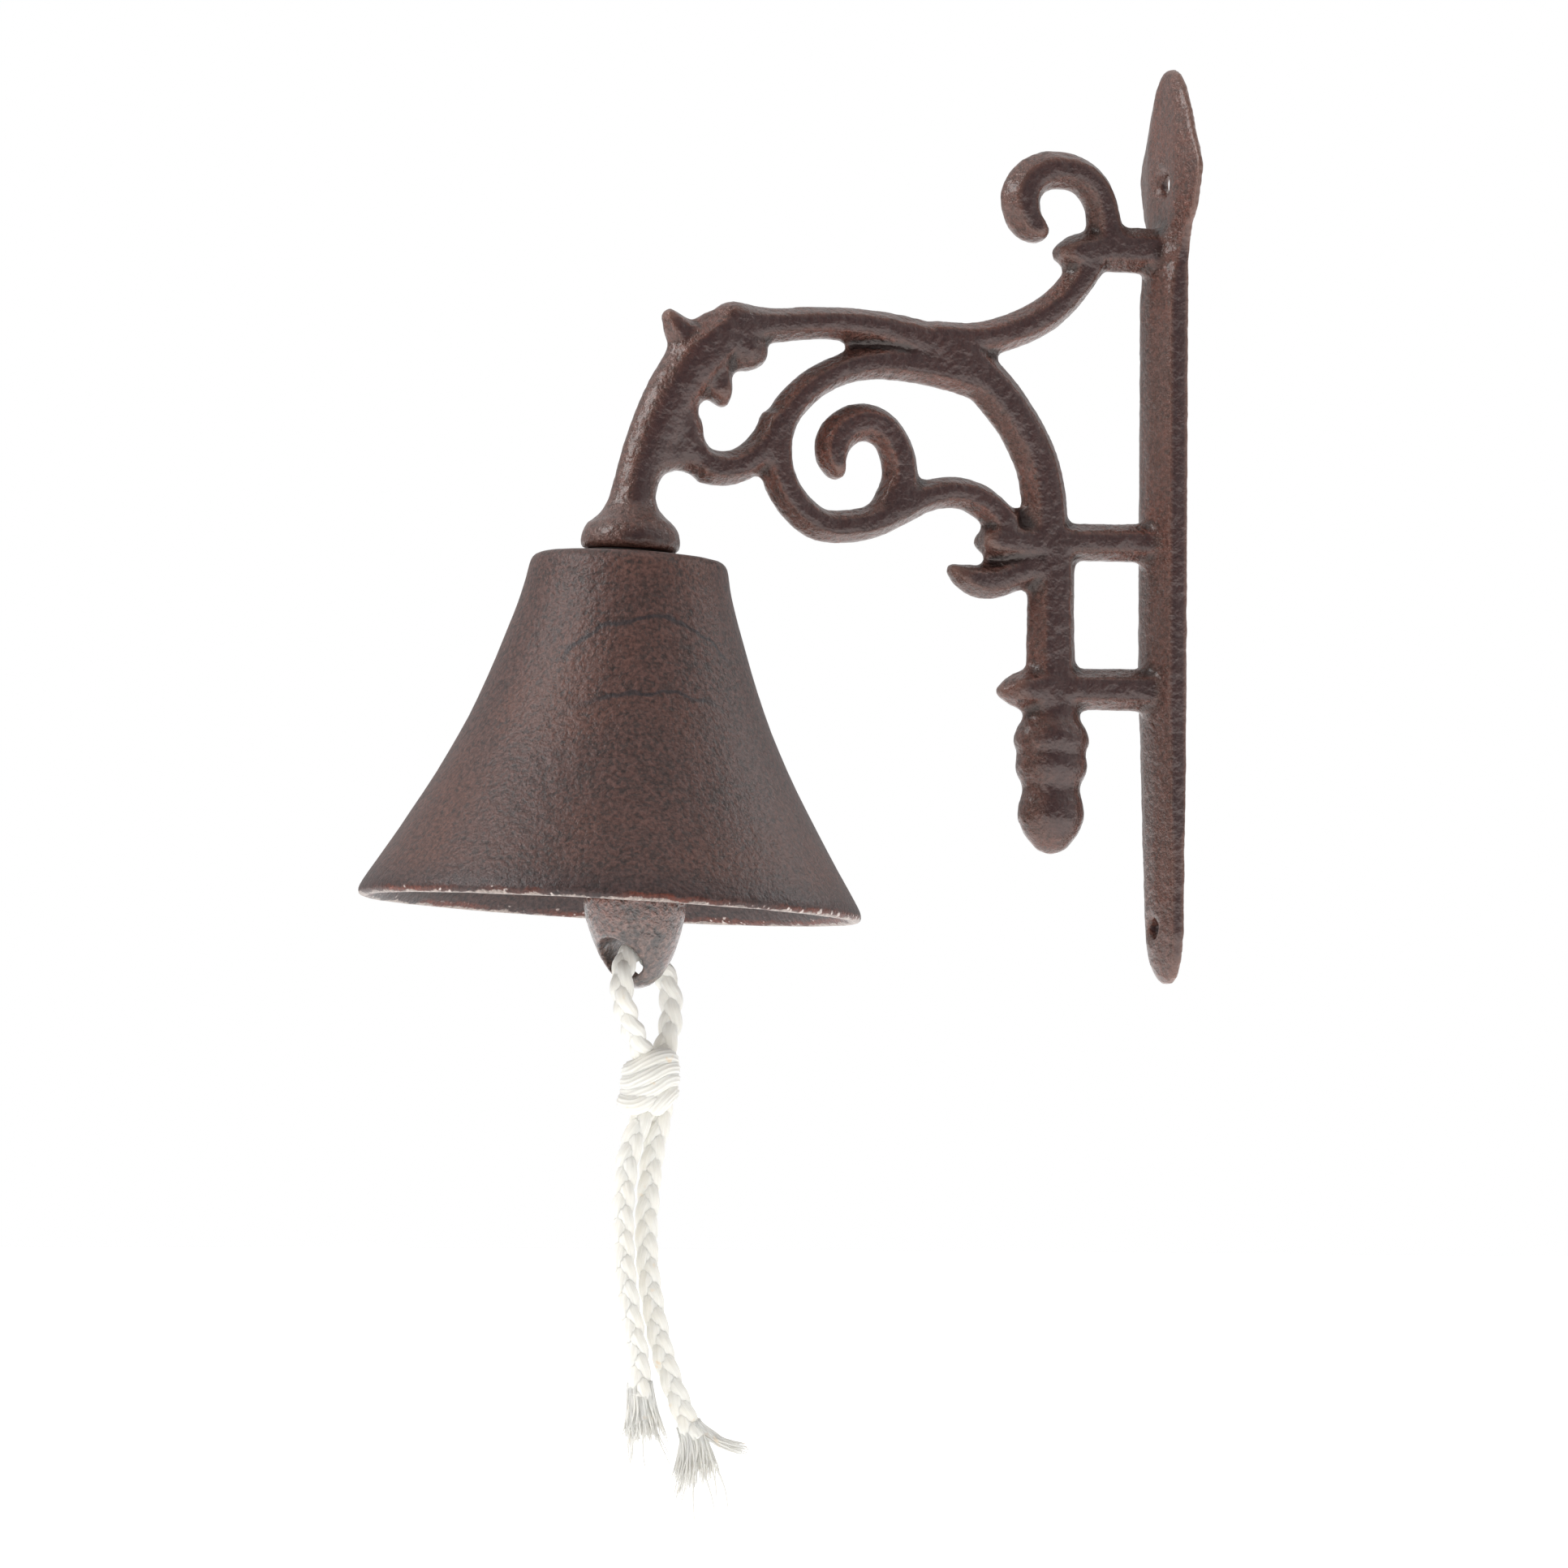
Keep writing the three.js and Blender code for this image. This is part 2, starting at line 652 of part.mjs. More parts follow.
const wallBell = new THREE.Group();

wallBell.add(named("bracket_casting", geometryOf(bracketCasting()), castIron));

// Everything clamped on the bell's axis stands in a group tilted with the foot.
const onBellAxis = new THREE.Group();
onBellAxis.position.copy(crownPoint);
onBellAxis.rotation.x = -BELL_TILT;
onBellAxis.add(
  named("bell_body", bell(), bellIron),
  named("crown_gasket", flatRing(boltBore, GASKET_R, SEAT_GAP, SEAT_GAP + GASKET_THICKNESS), blackFibre),
  named("eye_bolt", eyeBolt(), zincSteel),
  named("clamp_washer", flatRing(boltBore, WASHER_R, washerBottom, washerTop), zincSteel),
  named("hex_nut", hexNut(), zincSteel),
);
wallBell.add(onBellAxis);

// The link and the clapper hang from the lowest point inside the eye bolt's ring.
const eyeCentre = new THREE.Vector3(0, 0, eyeCentreZ)
  .applyAxisAngle(new THREE.Vector3(1, 0, 0), -BELL_TILT)
  .add(crownPoint);
const hanging = new THREE.Group();
hanging.position.copy(eyeCentre);
hanging.position.z -= EYE_RING_R - EYE_WIRE_R - LINK_WIRE_R - LINK_CLEARANCE;
hanging.rotation.x = CLAPPER_LEAN;
hanging.add(
  named("clapper_link", wireLink(), zincSteel),
  named("clapper_eye", clapperEye(), zincSteel),
  named("clapper", clapper(), castIron),
);
wallBell.add(hanging);

wallBell.add(
  named("rope_strand_front", clearOfKnot(ropeTube(FRONT_STRAND, STRAND_GAP, 0)), cottonRope),
  named("rope_strand_rear", clearOfKnot(ropeTube(REAR_STRAND, STRAND_GAP, 0)), cottonRope),
  named("rope_knot", knotBody(), cottonRope),
  named("rope_tail_left", clearOfKnot(ropeTube(LEFT_TAIL, 0, 0)), cottonRope),
  named("rope_tail_right", clearOfKnot(ropeTube(RIGHT_TAIL, 0, 0)), cottonRope),
);

export default wallBell;
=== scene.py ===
import math
import random

import bmesh
import bpy
import numpy as np
from mathutils import Matrix, Vector


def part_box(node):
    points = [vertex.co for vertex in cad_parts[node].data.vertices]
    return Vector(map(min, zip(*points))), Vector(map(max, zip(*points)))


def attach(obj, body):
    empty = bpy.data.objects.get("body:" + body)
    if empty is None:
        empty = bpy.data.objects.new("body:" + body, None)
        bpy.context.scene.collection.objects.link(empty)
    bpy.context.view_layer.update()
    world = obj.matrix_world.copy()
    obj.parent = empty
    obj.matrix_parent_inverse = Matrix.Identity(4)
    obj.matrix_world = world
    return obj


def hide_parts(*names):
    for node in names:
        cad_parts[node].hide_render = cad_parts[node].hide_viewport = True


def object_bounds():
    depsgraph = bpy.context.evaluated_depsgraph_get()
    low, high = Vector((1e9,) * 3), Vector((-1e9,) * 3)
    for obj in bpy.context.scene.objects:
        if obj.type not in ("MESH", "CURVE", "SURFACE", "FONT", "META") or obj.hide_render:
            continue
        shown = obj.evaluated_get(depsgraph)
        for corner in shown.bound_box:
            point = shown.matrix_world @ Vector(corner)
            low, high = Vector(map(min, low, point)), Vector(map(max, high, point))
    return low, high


# Looks for a wall mounted bell: sand-cast iron in a brown antique lacquer, and a cotton rope.
# Metres, +Z up. The wall is the plane Y = 0 and the bracket reaches out along -Y.

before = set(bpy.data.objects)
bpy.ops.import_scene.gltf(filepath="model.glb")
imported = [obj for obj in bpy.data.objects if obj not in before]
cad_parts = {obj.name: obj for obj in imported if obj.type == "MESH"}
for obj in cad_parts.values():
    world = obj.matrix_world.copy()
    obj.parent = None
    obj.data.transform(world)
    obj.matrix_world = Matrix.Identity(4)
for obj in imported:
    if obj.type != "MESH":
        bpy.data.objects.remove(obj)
cad_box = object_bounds()

MM = 0.001


# ---------------------------------------------------------------- camera

# The camera looks along the wall and a little upward, from the bell's far side.
CAMERA_PLACE = Vector((1.33328, -0.65779, -0.11918))
CAMERA_HEADING = math.radians(67)
CAMERA_PITCH = math.radians(2.4)
CAMERA_ROLL = math.radians(0.4)
CAMERA_LENS = 156.5
CAMERA_SENSOR = 36


def make_camera():
    flat = math.cos(CAMERA_PITCH)
    ahead = Vector((
        -math.sin(CAMERA_HEADING) * flat,
        math.cos(CAMERA_HEADING) * flat,
        math.sin(CAMERA_PITCH),
    ))
    level_right = Vector((math.cos(CAMERA_HEADING), math.sin(CAMERA_HEADING), 0))
    level_up = level_right.cross(ahead)
    right = level_right * math.cos(CAMERA_ROLL) + level_up * math.sin(CAMERA_ROLL)
    up = right.cross(ahead)
    turn = Matrix((right, up, -ahead)).transposed().to_4x4()
    data = bpy.data.cameras.new("camera")
    data.lens = CAMERA_LENS
    data.sensor_width = CAMERA_SENSOR
    data.clip_start = 0.05
    data.clip_end = 20
    camera = bpy.data.objects.new("camera", data)
    camera.matrix_world = Matrix.Translation(CAMERA_PLACE) @ turn
    bpy.context.scene.collection.objects.link(camera)
    bpy.context.scene.camera = camera


make_camera()


# ---------------------------------------------------------------- node helper and colours

def linear(code):
    """An sRGB hex colour as the linear colour that shaders take."""
    channels = [int(code[i:i + 2], 16) / 255 for i in (1, 3, 5)]
    return [c / 12.92 if c <= 0.04045 else ((c + 0.055) / 1.055) ** 2.4 for c in channels] + [1]


def per(size_mm):
    """The texture scale whose features are about this many millimetres."""
    return 1000 / size_mm


def add(tree, kind, inputs=None, **settings):
    """Adds one shader node: settings are its properties, inputs its socket values or links."""
    made = tree.nodes.new(kind)
    for name, value in settings.items():
        setattr(made, name, value)
    for name, value in (inputs or {}).items():
        if isinstance(value, bpy.types.NodeSocket):
            tree.links.new(value, made.inputs[name])
        else:
            made.inputs[name].default_value = value
    return made


def new_material(name):
    """An empty node material with its shader and output in place."""
    material = bpy.data.materials.new(name)
    material.use_nodes = True
    tree = material.node_tree
    tree.nodes.clear()
    shader = add(tree, "ShaderNodeBsdfPrincipled")
    add(tree, "ShaderNodeOutputMaterial", {"Surface": shader.outputs[0]})
    return material, tree, shader


# ---------------------------------------------------------------- the bell's own axis

BELL_TILT = math.radians(3)
BELL_HEIGHT = 74.6
BELL_SEGMENTS = 160


def crown_centre():
    """The middle of the crown's top face, taken from the gasket that sits on it."""
    low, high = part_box("crown_gasket")
    middle = (low + high) / 2
    lift = 0.6 * MM
    return middle + Vector((0, -math.sin(BELL_TILT) * lift, -math.cos(BELL_TILT) * lift))


# ---------------------------------------------------------------- materials

def orange_peel(tree, place, shader, swell_mm, swell_height, grit_mm, grit_height, calm=None):
    """The skin of a sand casting under lacquer: low swells with fine grit on them. A glossy coat
    follows the swells alone, because it fills the grit. Returns the grit."""
    swell = add(tree, "ShaderNodeTexNoise", {
        "Vector": place.outputs["Object"], "Scale": per(swell_mm), "Detail": 2, "Roughness": 0.5})
    grit = add(tree, "ShaderNodeTexNoise", {
        "Vector": place.outputs["Object"], "Scale": per(grit_mm), "Detail": 3, "Roughness": 0.6})
    height = grit.outputs[0]
    if calm is not None:
        height = add(tree, "ShaderNodeMath", {0: height, 1: calm}, operation="MULTIPLY").outputs[0]
    coarse = add(tree, "ShaderNodeBump", {
        "Strength": 1, "Distance": swell_height * MM, "Height": swell.outputs[0]})
    fine = add(tree, "ShaderNodeBump", {
        "Strength": 1, "Distance": grit_height * MM, "Height": height,
        "Normal": coarse.outputs[0]})
    tree.links.new(fine.outputs[0], shader.inputs["Normal"])
    tree.links.new(coarse.outputs[0], shader.inputs["Coat Normal"])
    return grit


def patina(tree, place, brown, rust, blue_black, speck_mm, amount):
    """Brown lacquer with blue-black specks where it has worn to the scale, and rust in clouds."""
    cloud = add(tree, "ShaderNodeTexNoise", {
        "Vector": place.outputs["Object"], "Scale": per(24), "Detail": 3})
    stain = add(tree, "ShaderNodeMapRange", {
        "Value": cloud.outputs[0], "From Min": 0.46, "From Max": 0.66, "To Max": 0.8})
    ground = add(tree, "ShaderNodeMix", {
        0: stain.outputs[0], 6: linear(brown), 7: linear(rust)}, data_type="RGBA")
    speck = add(tree, "ShaderNodeTexNoise", {
        "Vector": place.outputs["Object"], "Scale": per(speck_mm), "Detail": 6, "Roughness": 0.66,
        "Distortion": 0.5})
    shift = add(tree, "ShaderNodeMapRange", {
        "Value": cloud.outputs[0], "From Min": 0.3, "From Max": 0.7, "To Min": amount, "To Max": -amount})
    raised = add(tree, "ShaderNodeMath", {0: speck.outputs[0], 1: shift.outputs[0]}, operation="ADD")
    worn = add(tree, "ShaderNodeMapRange", {
        "Value": raised.outputs[0], "From Min": 0.5, "From Max": 0.6})
    colour = add(tree, "ShaderNodeMix", {
        0: worn.outputs[0], 6: ground.outputs[2], 7: linear(blue_black)}, data_type="RGBA")
    return colour.outputs[2]


def grit_shade_and_glints(tree, grit, colour, darkest, lightest):
    """Painted shade in the pits and painted glints on the grains: the colour is darkened or lightened
    with the grit.
    """
    depth = add(tree, "ShaderNodeMapRange", {
        "Value": grit.outputs[0], "From Min": 0.35, "From Max": 0.65,
        "To Min": darkest, "To Max": lightest})
    shaded = add(tree, "ShaderNodeMix", {
        0: 1.0, 6: colour, 7: depth.outputs[0]}, data_type="RGBA", blend_type="MULTIPLY")
    return shaded.outputs[2]


def crease_shade_and_edge_wear(tree, colour, crease_shade_hex, edge_hex, crease_shade_share, edge_share):
    """Paints shade dark into the creases, and handling wears the edges to a lighter brown."""
    relief = add(tree, "ShaderNodeAttribute", attribute_name="relief")
    crease = add(tree, "ShaderNodeMapRange", {
        "Value": relief.outputs["Fac"], "From Min": 0.006, "From Max": 0.05, "To Max": crease_shade_share})
    edge = add(tree, "ShaderNodeMapRange", {
        "Value": relief.outputs["Fac"], "From Min": -0.05, "From Max": -0.11, "To Max": edge_share})
    colour = add(tree, "ShaderNodeMix", {
        0: crease.outputs[0], 6: colour, 7: linear(crease_shade_hex)}, data_type="RGBA").outputs[2]
    colour = add(tree, "ShaderNodeMix", {
        0: edge.outputs[0], 6: colour, 7: linear(edge_hex)}, data_type="RGBA").outputs[2]
    return colour


def bracket_finish():
    """Sand-cast iron in brown antique lacquer: a gritty skin, smooth on the crests, which were the
    deepest flats of the mould, and reddish brown on the slopes. The crests, the faces turned along X,
    are darkened with painted shade that stands for the dark opening they reflect. The grit has painted
    shade in its pits and painted glints on its grains."""
    material, tree, shader = new_material("sand_cast_bracket_iron")
    place = add(tree, "ShaderNodeTexCoord")
    side = add(tree, "ShaderNodeSeparateXYZ", {"Vector": place.outputs["Normal"]})
    outward = add(tree, "ShaderNodeMath", {0: side.outputs["X"]}, operation="ABSOLUTE")
    # The crests, faces turned along X: their colour takes painted shade and their grit is calmed.
    crest = add(tree, "ShaderNodeMapRange", {
        "Value": outward.outputs[0], "From Min": 0.8, "From Max": 0.97, "To Max": 0.8})
    calm = add(tree, "ShaderNodeMapRange", {
        "Value": crest.outputs[0], "To Min": 1, "To Max": 0.2})
    grit = orange_peel(tree, place, shader, 2.4, 0.4, 1, 0.6, calm.outputs[0])
    skin = patina(tree, place, "#52362f", "#5e362b", "#402a24", 1.1, 0.02)
    # Painted shade in the grit's pits and painted glints on its grains.
    skin = grit_shade_and_glints(tree, grit, skin, 0.65, 1.4)
    # Painted shade on the crests, standing for the dark opening they reflect.
    crest_shaded = add(tree, "ShaderNodeMix", {
        0: crest.outputs[0], 6: skin, 7: linear("#35282a")}, data_type="RGBA").outputs[2]
    # Painted shade in the creases, and lighter worn edges.
    marked = crease_shade_and_edge_wear(tree, crest_shaded, "#1c1211", "#7d5d52", 0.9, 0.6)
    tree.links.new(marked, shader.inputs["Base Color"])
    shader.inputs["Roughness"].default_value = 0.28
    shader.inputs["Specular IOR Level"].default_value = 0.6
    shader.inputs["Specular Tint"].default_value = linear("#ffeee6")
    shader.inputs["Coat Weight"].default_value = 0.35
    shader.inputs["Coat Roughness"].default_value = 0.18
    return material


# Two wavy lines where the lacquer wrinkled, as arcs about points in or below the bell: centre and
# radius in millimetres, and the height that each arc is drawn down to.
BELL_WRINKLES = [((25, -133, -50), 24.2, -36), ((27, -134.5, -84), 42.3, -45.5)]


def bell_finish():
    """Fine sand-cast iron in brown antique lacquer: an orange-peel skin, brown with blue-black
    specks and two wrinkled lines on its face, with painted shade in its pits and painted glints on
    its grains. Along the lip it is darker in a band, then rusty with pale chips, and worn bare on the
    edge itself."""
    material, tree, shader = new_material("fine_sand_cast_bell_iron")
    place = add(tree, "ShaderNodeTexCoord")
    grit = orange_peel(tree, place, shader, 2.2, 0.3, 0.8, 0.26)
    colour = patina(tree, place, "#4e3732", "#553931", "#382b28", 1.2, 0.04)
    waver = add(tree, "ShaderNodeTexNoise", {
        "Vector": place.outputs["Object"], "Scale": per(7), "Detail": 4})
    up = add(tree, "ShaderNodeSeparateXYZ", {"Vector": place.outputs["Object"]})
    for centre, radius, foot in BELL_WRINKLES:
        away = add(tree, "ShaderNodeVectorMath", {
            0: place.outputs["Object"], 1: Vector(centre) * MM}, operation="DISTANCE")
        bent = add(tree, "ShaderNodeMath", {
            0: waver.outputs[0], 1: 5 * MM, 2: away.outputs["Value"]}, operation="MULTIPLY_ADD")
        off = add(tree, "ShaderNodeMath", {
            0: bent.outputs[0], 1: (radius + 2.5) * MM}, operation="SUBTRACT")
        near = add(tree, "ShaderNodeMath", {0: off.outputs[0]}, operation="ABSOLUTE")
        line = add(tree, "ShaderNodeMapRange", {
            "Value": near.outputs[0], "From Min": 0.25 * MM, "From Max": 0.7 * MM,
            "To Min": 0.8, "To Max": 0})
        # Only the upper part of each ring is drawn.
        top = add(tree, "ShaderNodeMapRange", {
            "Value": up.outputs["Z"], "From Min": foot * MM, "From Max": (foot + 3) * MM})
        drawn = add(tree, "ShaderNodeMath", {
            0: line.outputs[0], 1: top.outputs[0]}, operation="MULTIPLY")
        colour = add(tree, "ShaderNodeMix", {
            0: drawn.outputs[0], 6: colour, 7: linear("#282527")}, data_type="RGBA").outputs[2]
    # How far down the bell a point is, from its crown.
    down = add(tree, "ShaderNodeVectorMath", {
        0: place.outputs["Object"],
        1: Vector((0, -math.sin(BELL_TILT), -math.cos(BELL_TILT)))}, operation="DOT_PRODUCT")
    lip = crown_centre().dot(Vector((0, -math.sin(BELL_TILT), -math.cos(BELL_TILT)))) + BELL_HEIGHT * MM
    ragged = add(tree, "ShaderNodeTexNoise", {
        "Vector": place.outputs["Object"], "Scale": per(6), "Detail": 5, "Roughness": 0.7})
    edge = add(tree, "ShaderNodeMath", {
        0: ragged.outputs[0], 1: 3.2 * MM, 2: down.outputs["Value"]}, operation="MULTIPLY_ADD")
    # Darker in a band just above the lip, inside and out.
    darker_band = add(tree, "ShaderNodeMapRange", {
        "Value": edge.outputs[0], "From Min": lip - 6 * MM, "From Max": lip - 1.5 * MM, "To Max": 0.55})
    colour = add(tree, "ShaderNodeMix", {
        0: darker_band.outputs[0], 6: colour, 7: linear("#302829")}, data_type="RGBA").outputs[2]
    knocks = add(tree, "ShaderNodeTexNoise", {
        "Vector": place.outputs["Object"], "Scale": per(26), "Detail": 2})
    knocked = add(tree, "ShaderNodeMapRange", {
        "Value": knocks.outputs[0], "From Min": 0.42, "From Max": 0.56})
    band = add(tree, "ShaderNodeMapRange", {
        "Value": edge.outputs[0], "From Min": lip, "From Max": lip + 0.5 * MM, "To Max": 0.85})
    rusty = add(tree, "ShaderNodeMath", {
        0: band.outputs[0], 1: knocked.outputs[0]}, operation="MULTIPLY")
    colour = add(tree, "ShaderNodeMix", {
        0: rusty.outputs[0], 6: colour, 7: linear("#5e2f22")}, data_type="RGBA").outputs[2]
    flakes = add(tree, "ShaderNodeTexNoise", {
        "Vector": place.outputs["Object"], "Scale": per(1.6), "Detail": 1})
    chip = add(tree, "ShaderNodeMapRange", {
        "Value": flakes.outputs[0], "From Min": 0.65, "From Max": 0.7})
    chipped = add(tree, "ShaderNodeMath", {
        0: band.outputs[0], 1: chip.outputs[0]}, operation="MULTIPLY")
    colour = add(tree, "ShaderNodeMix", {
        0: chipped.outputs[0], 6: colour, 7: linear("#b5aaa4")}, data_type="RGBA").outputs[2]
    bare = add(tree, "ShaderNodeMapRange", {
        "Value": edge.outputs[0], "From Min": lip + 1.15 * MM, "From Max": lip + 1.3 * MM, "To Max": 0.9})
    colour = add(tree, "ShaderNodeMix", {
        0: bare.outputs[0], 6: colour, 7: linear("#93867f")}, data_type="RGBA").outputs[2]
    # Painted shade in the grit's pits and painted glints on its grains.
    tree.links.new(grit_shade_and_glints(tree, grit, colour, 0.6, 1.45), shader.inputs["Base Color"])
    shader.inputs["Roughness"].default_value = 0.4
    shader.inputs["Specular IOR Level"].default_value = 0.4
    return material


def clapper_finish():
    """Rough-cast iron in brown lacquer: coarse grit with painted glints on its grains and painted shade
    in its pits, reddish in a band.
    """
    material, tree, shader = new_material("rough_cast_clapper_iron")
    place = add(tree, "ShaderNodeTexCoord")
    grit = orange_peel(tree, place, shader, 3, 0.3, 0.95, 0.8)
    colour = patina(tree, place, "#5a463f", "#663b2e", "#3a302d", 2.2, 0.03)
    # Painted shade in the grit's pits and painted glints on its grains.
    tree.links.new(grit_shade_and_glints(tree, grit, colour, 0.4, 2), shader.inputs["Base Color"])
    shader.inputs["Roughness"].default_value = 0.28
    shader.inputs["Specular IOR Level"].default_value = 0.9
    shader.inputs["Coat Weight"].default_value = 0.6
    shader.inputs["Coat Roughness"].default_value = 0.18
    return material


def zinc_steel():
    """Bright zinc plated steel wire and nut: a cool grey metal with a soft drawn sheen."""
    material, tree, shader = new_material("bright_zinc_plated_steel")
    place = add(tree, "ShaderNodeTexCoord")
    spangle = add(tree, "ShaderNodeTexNoise", {
        "Vector": place.outputs["Object"], "Scale": per(1.2), "Detail": 4})
    colour = add(tree, "ShaderNodeMix", {
        0: spangle.outputs[0], 6: linear("#7d7f80"), 7: linear("#b9babb")}, data_type="RGBA")
    rough = add(tree, "ShaderNodeMapRange", {
        "Value": spangle.outputs[0], "To Min": 0.25, "To Max": 0.5})
    bump = add(tree, "ShaderNodeBump", {
        "Strength": 0.6, "Distance": 0.04 * MM, "Height": spangle.outputs[0]})
    tree.links.new(colour.outputs[2], shader.inputs["Base Color"])
    tree.links.new(rough.outputs[0], shader.inputs["Roughness"])
    tree.links.new(bump.outputs[0], shader.inputs["Normal"])
    shader.inputs["Metallic"].default_value = 1
    return material


def fibre():
    """Pressed black fibre sheet: dull, with short felted hairs."""
    material, tree, shader = new_material("pressed_black_fibre")
    place = add(tree, "ShaderNodeTexCoord")
    felt = add(tree, "ShaderNodeTexNoise", {
        "Vector": place.outputs["Object"], "Scale": per(0.5), "Detail": 5})
    colour = add(tree, "ShaderNodeMix", {
        0: felt.outputs[0], 6: linear("#0f0d0c"), 7: linear("#2a2523")}, data_type="RGBA")
    bump = add(tree, "ShaderNodeBump", {
        "Strength": 0.7, "Distance": 0.08 * MM, "Height": felt.outputs[0]})
    tree.links.new(colour.outputs[2], shader.inputs["Base Color"])
    tree.links.new(bump.outputs[0], shader.inputs["Normal"])
    shader.inputs["Roughness"].default_value = 0.9
    return material


def cotton():
    """Unbleached cotton yarn: nearly white, matt, with fine fibre lines along each yarn, a soft
    sheen of loose hairs and a few rust marks from the iron. A faint glow stands for the light that
    passes from yarn to yarn."""
    material, tree, shader = new_material("natural_cotton_yarn")
    place = add(tree, "ShaderNodeTexCoord")
    along = add(tree, "ShaderNodeMapping", {"Vector": place.outputs["UV"], "Scale": (9, 0.35, 1)})
    fibres = add(tree, "ShaderNodeTexNoise", {
        "Vector": along.outputs[0], "Scale": 1, "Detail": 3, "Roughness": 0.6})
    blotch = add(tree, "ShaderNodeTexNoise", {
        "Vector": place.outputs["Object"], "Scale": per(5), "Detail": 3})
    rust = add(tree, "ShaderNodeTexNoise", {
        "Vector": place.outputs["Object"], "Scale": per(3.2), "Detail": 2})
    shade = add(tree, "ShaderNodeMix", {
        0: fibres.outputs[0], 6: linear("#c9c6bb"), 7: linear("#efeeea")}, data_type="RGBA")
    warm = add(tree, "ShaderNodeMapRange", {
        "Value": blotch.outputs[0], "From Min": 0.45, "From Max": 0.75, "To Max": 0.5})
    cream = add(tree, "ShaderNodeMix", {
        0: warm.outputs[0], 6: shade.outputs[2], 7: linear("#e6e0d4")}, data_type="RGBA")
    marked = add(tree, "ShaderNodeMapRange", {
        "Value": rust.outputs[0], "From Min": 0.66, "From Max": 0.76, "To Max": 0.5})
    colour = add(tree, "ShaderNodeMix", {
        0: marked.outputs[0], 6: cream.outputs[2], 7: linear("#d9b98c")}, data_type="RGBA")
    bump = add(tree, "ShaderNodeBump", {
        "Strength": 0.8, "Distance": 0.12 * MM, "Height": fibres.outputs[0]})
    tree.links.new(colour.outputs[2], shader.inputs["Base Color"])
    tree.links.new(bump.outputs[0], shader.inputs["Normal"])
    shader.inputs["Roughness"].default_value = 0.95
    shader.inputs["Sheen Weight"].default_value = 0.25
    shader.inputs["Sheen Roughness"].default_value = 0.6
    shader.inputs["Emission Color"].default_value = linear("#fffdf6")
    shader.inputs["Emission Strength"].default_value = 0.08
    shader.inputs["Subsurface Weight"].default_value = 0.6
    shader.inputs["Subsurface Radius"].default_value = (1, 0.97, 0.9)
    shader.inputs["Subsurface Scale"].default_value = 0.8 * MM
    return material


bracket_iron = bracket_finish()
bell_iron = bell_finish()
clapper_iron = clapper_finish()
zinc = zinc_steel()
black_fibre = fibre()
cotton_yarn = cotton()


# ---------------------------------------------------------------- mesh helpers

def deselect():
    if bpy.context.object and bpy.context.object.mode != "OBJECT":
        bpy.ops.object.mode_set(mode="OBJECT")
    bpy.ops.object.select_all(action="DESELECT")


def pick(piece):
    deselect()
    piece.select_set(True)
    bpy.context.view_layer.objects.active = piece


def apply(piece, kind, **settings):
    """Adds a modifier with its settings and applies it."""
    pick(piece)
    modifier = piece.modifiers.new(kind.lower(), kind)
    for name, value in settings.items():
        setattr(modifier, name, value)
    bpy.ops.object.modifier_apply(modifier=modifier.name)


def finish_piece(piece, material, slot, body, *replaced):
    """Gives a piece its material and body, with its place in its mesh. The slot argument is not used."""
    pick(piece)
    bpy.ops.object.transform_apply(location=True, rotation=True, scale=True)
    piece.data.materials.clear()
    piece.data.materials.append(material)
    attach(piece, body)
    if replaced:
        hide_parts(*replaced)
    return piece


def casting_copy(node, name):
    """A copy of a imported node's shape with its loose triangles merged, to be refined."""
    piece = bpy.data.objects.new(name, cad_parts[node].data.copy())
    bpy.context.scene.collection.objects.link(piece)
    pick(piece)
    bpy.ops.object.mode_set(mode="EDIT")
    bpy.ops.mesh.select_all(action="SELECT")
    bpy.ops.mesh.remove_doubles(threshold=0.01 * MM)
    bpy.ops.object.mode_set(mode="OBJECT")
    return piece


def soften_casting(piece, voxel, fillet, passes):
    """Fills the sharp inner corners to a fillet and rounds the edges, as a sand mould does."""
    apply(piece, "REMESH", mode="VOXEL", voxel_size=voxel)
    apply(piece, "DISPLACE", strength=fillet, mid_level=0)
    apply(piece, "REMESH", mode="VOXEL", voxel_size=voxel)
    apply(piece, "DISPLACE", strength=-fillet, mid_level=0)
    apply(piece, "REMESH", mode="VOXEL", voxel_size=voxel)
    apply(piece, "SMOOTH", factor=0.5, iterations=passes)


def mark_relief(piece, spread):
    """Stores how hollow or raised each point of a casting is, from its neighbours, as the
    attribute that its material reads: above 0 in a crease and below 0 on an edge."""
    mesh = piece.data
    places = np.empty(len(mesh.vertices) * 3)
    mesh.vertices.foreach_get("co", places)
    places = places.reshape(-1, 3)
    normals = np.empty(len(mesh.vertices) * 3)
    mesh.vertices.foreach_get("normal", normals)
    normals = normals.reshape(-1, 3)
    ends = np.empty(len(mesh.edges) * 2, int)
    mesh.edges.foreach_get("vertices", ends)
    ends = ends.reshape(-1, 2)
    count = np.bincount(ends.ravel(), minlength=len(places))

    def neighbours(values):
        total = np.zeros_like(values)
        np.add.at(total, ends[:, 0], values[ends[:, 1]])
        np.add.at(total, ends[:, 1], values[ends[:, 0]])
        return total / (count[:, None] if values.ndim > 1 else count)

    step = np.linalg.norm(places[ends[:, 0]] - places[ends[:, 1]], axis=1).mean()
    hollow = ((neighbours(places) - places) * normals).sum(1) / step
    for _ in range(spread):
        hollow = 0.4 * hollow + 0.6 * neighbours(hollow)
    attribute = mesh.attributes.new("relief", "FLOAT", "POINT")
    attribute.data.foreach_set("value", hollow.astype(np.float32))


